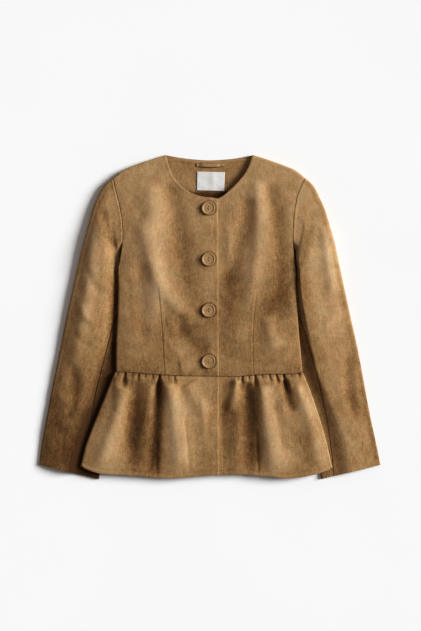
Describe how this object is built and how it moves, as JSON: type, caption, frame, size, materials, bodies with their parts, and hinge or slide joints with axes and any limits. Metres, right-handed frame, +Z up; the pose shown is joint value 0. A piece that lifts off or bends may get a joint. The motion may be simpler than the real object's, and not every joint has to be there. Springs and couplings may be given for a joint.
{
  "type": "peplum jacket",
  "caption": "Collarless buttoned jacket in suede-like cloth with long two-piece sleeves and a gathered peplum, laid out flat on its back.",
  "frame": {"origin": "middle of the jacket's outline seen from above, at the surface it lies on", "axes": "+Z up, out of the front; +Y towards the neck; +X towards the wearer's left sleeve"},
  "size_m": [0.6478, 0.6152, 0.0241],
  "materials": {
    "suede_cloth": "napped, matt, suede-like",
    "button_plastic": "satin, dyed to match the cloth",
    "label_cloth": "smooth woven tape, blank"
  },
  "bodies": {
    "root": {"bodice_front_right": "suede_cloth", "bodice_front_left": "suede_cloth", "bodice_back": "suede_cloth", "back_neck_facing": "suede_cloth", "peplum_front_right": "suede_cloth", "peplum_front_left": "suede_cloth", "peplum_back": "suede_cloth", "sleeve_right_upper": "suede_cloth", "sleeve_right_under": "suede_cloth", "sleeve_left_upper": "suede_cloth", "sleeve_left_under": "suede_cloth", "hanger_loop": "suede_cloth", "button_1": "button_plastic", "button_2": "button_plastic", "button_3": "button_plastic", "button_4": "button_plastic", "neck_label": "label_cloth"}
  },
  "joints": []
}
